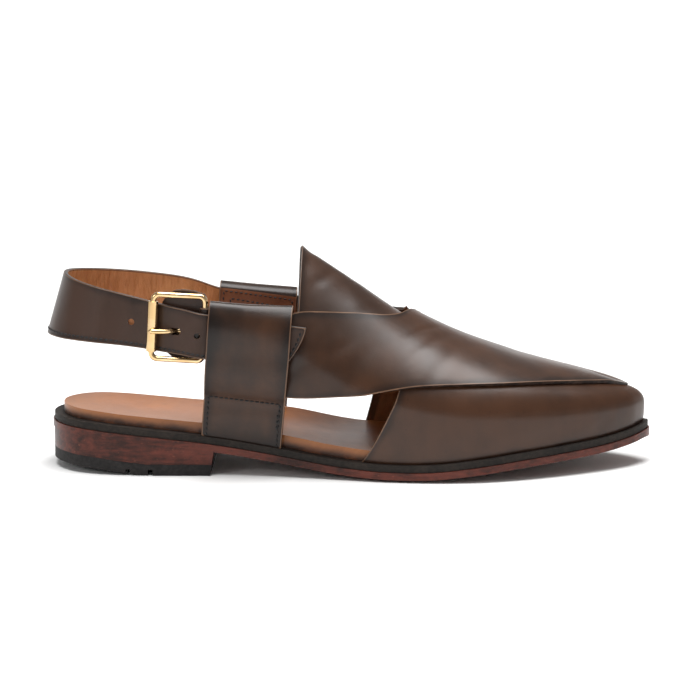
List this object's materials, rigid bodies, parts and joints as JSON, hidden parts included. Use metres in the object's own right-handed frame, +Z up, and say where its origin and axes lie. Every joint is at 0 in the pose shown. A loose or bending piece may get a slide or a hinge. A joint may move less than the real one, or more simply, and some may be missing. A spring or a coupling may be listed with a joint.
{
  "type": "peshawari chappal",
  "caption": "Closed-toe leather sandal with crossed bands, a raised tongue, a low stacked heel and a buckled heel strap running through folded ankle loops.",
  "frame": {"origin": "on the floor under the middle of the shoe's length and width", "axes": "+X towards the toe along the shoe's length, +Z up; the outer side with the buckle faces -Y"},
  "size_m": [0.304, 0.097, 0.1092],
  "materials": {
    "upper_leather": "polished",
    "insole_leather": "satin",
    "sole_leather": "satin",
    "black_rubber": "matte",
    "buckle_gold": "polished"
  },
  "bodies": {
    "root": {"outsole": "sole_leather", "welt": "black_rubber", "heel_stack": "sole_leather", "heel_top_piece": "black_rubber", "insole": "insole_leather", "upper": "upper_leather", "tongue": "upper_leather", "ankle_loop_lateral": "upper_leather", "ankle_loop_medial": "upper_leather", "heel_strap": "upper_leather", "buckle_chape": "upper_leather", "buckle_frame": "buckle_gold", "buckle_roller": "buckle_gold", "buckle_prong": "buckle_gold"}
  },
  "joints": []
}
